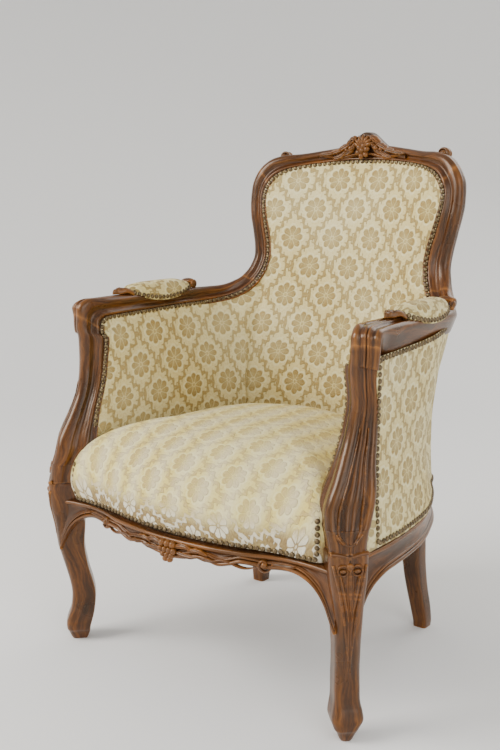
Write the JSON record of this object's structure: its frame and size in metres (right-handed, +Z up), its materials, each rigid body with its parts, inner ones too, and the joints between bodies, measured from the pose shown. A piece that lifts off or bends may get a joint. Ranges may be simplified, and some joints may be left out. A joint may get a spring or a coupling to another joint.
{
  "type": "tub armchair",
  "caption": "Low-backed upholstered tub armchair with a carved show-wood frame, cabriole front legs, domed seat and padded armrests.",
  "frame": {"origin": "on the floor under the middle of the chair's box", "axes": "+Z up, the chair's front faces -Y, +X is to the right seen from the front"},
  "size_m": [0.7172, 0.6731, 1.006],
  "materials": {
    "walnut": "stained and waxed, satin",
    "beech": "plain hidden frame wood",
    "velvet": "cut velvet with a figured pile",
    "brass_nail": "antiqued",
    "jute": "woven jute",
    "lining": "black cotton lining",
    "stuffing": "hair and wadding under calico",
    "steel": "bare steel"
  },
  "bodies": {
    "root": {"arm_padding_left": "stuffing", "arm_padding_right": "stuffing", "arm_post_left": "walnut", "arm_post_right": "walnut", "arm_rail_left": "walnut", "arm_rail_right": "walnut", "arm_tack_rail_left": "beech", "arm_tack_rail_right": "beech", "armrest_cover_left": "velvet", "armrest_cover_right": "velvet", "armrest_nails_left": "brass_nail", "armrest_nails_right": "brass_nail", "armrest_padding_left": "stuffing", "armrest_padding_right": "stuffing", "back_padding": "stuffing", "back_stile_left": "walnut", "back_stile_right": "walnut", "back_tack_rail": "beech", "back_webbing": "jute", "corner_block_screws": "steel", "corner_blocks": "beech", "crest_rail": "walnut", "dust_cover": "lining", "frame_dowels": "beech", "front_leg_left": "walnut", "front_leg_right": "walnut", "inside_arm_cover_left": "velvet", "inside_arm_cover_right": "velvet", "inside_back_cover": "velvet", "inside_nails": "brass_nail", "outside_arm_cover_left": "velvet", "outside_arm_cover_right": "velvet", "outside_back_cover": "velvet", "outside_back_nails": "brass_nail", "outside_nails_left": "brass_nail", "outside_nails_right": "brass_nail", "rail_dowels": "beech", "rear_leg_left": "walnut", "rear_leg_right": "walnut", "seat_cover": "velvet", "seat_hessian": "jute", "seat_nails": "brass_nail", "seat_rail_back": "beech", "seat_rail_front": "walnut", "seat_rail_side_left": "walnut", "seat_rail_side_right": "walnut", "seat_springs": "steel", "seat_stuffing": "stuffing", "seat_webbing_crossways": "jute", "seat_webbing_lengthways": "jute"}
  },
  "joints": []
}
